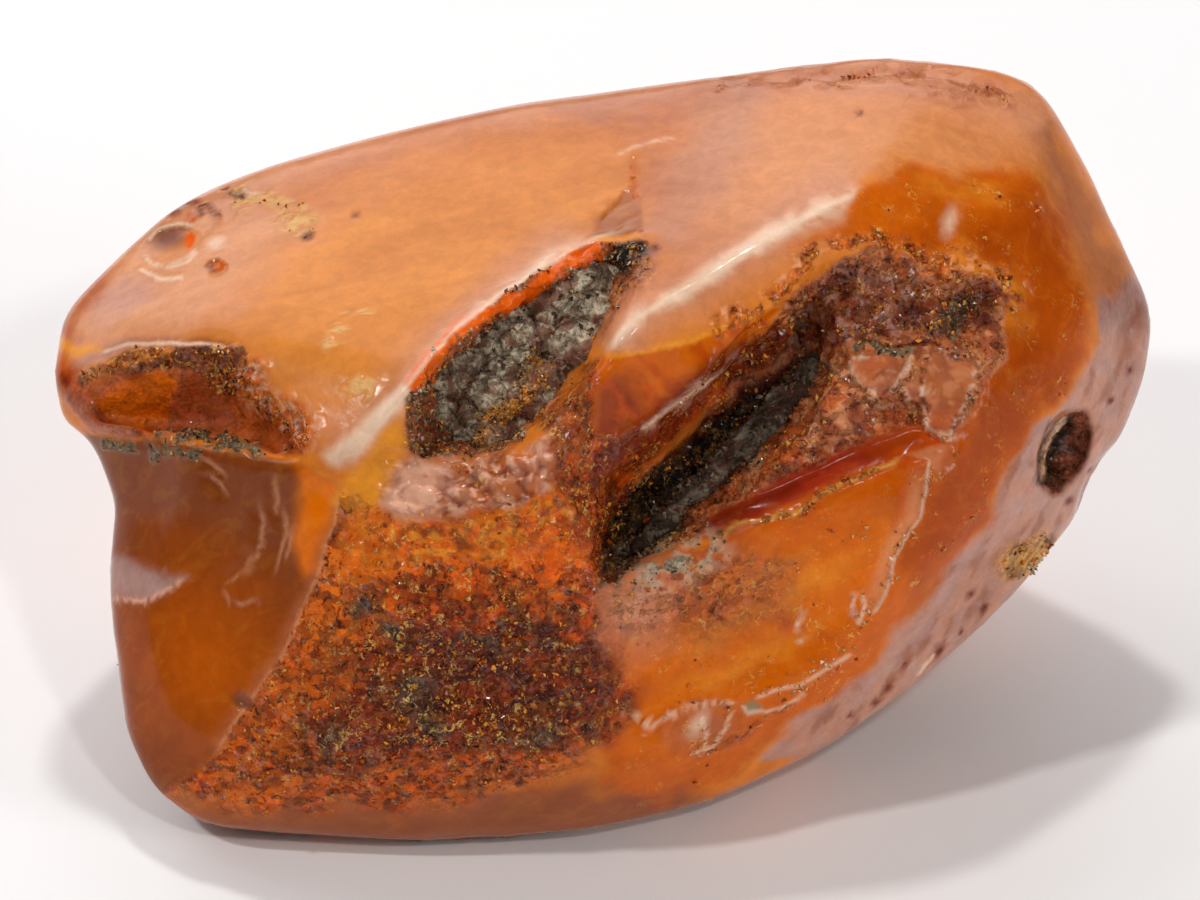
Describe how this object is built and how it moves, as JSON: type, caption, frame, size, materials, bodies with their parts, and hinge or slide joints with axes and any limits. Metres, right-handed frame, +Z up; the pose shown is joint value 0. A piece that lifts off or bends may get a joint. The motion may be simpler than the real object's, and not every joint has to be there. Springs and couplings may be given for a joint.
{
  "type": "raw amber piece",
  "caption": "Large raw lump of cloudy orange amber with broken glassy faces, a rough dark crust and dirt-filled hollows, resting on a small flat.",
  "frame": {"origin": "centre of the bounding box's bottom face, on the plane that the lump rests on", "axes": "+X along the lump's long side, towards its narrower end; +Z up from the flat it rests on; the broken face with the hollows looks towards -Y and up"},
  "size_m": [0.0992, 0.0652, 0.0534],
  "materials": {
    "amber": "polished",
    "sediment": "matte"
  },
  "bodies": {
    "root": {"amber": "amber", "pocket_sediment": "sediment", "cleft_sediment": "sediment"}
  },
  "joints": []
}
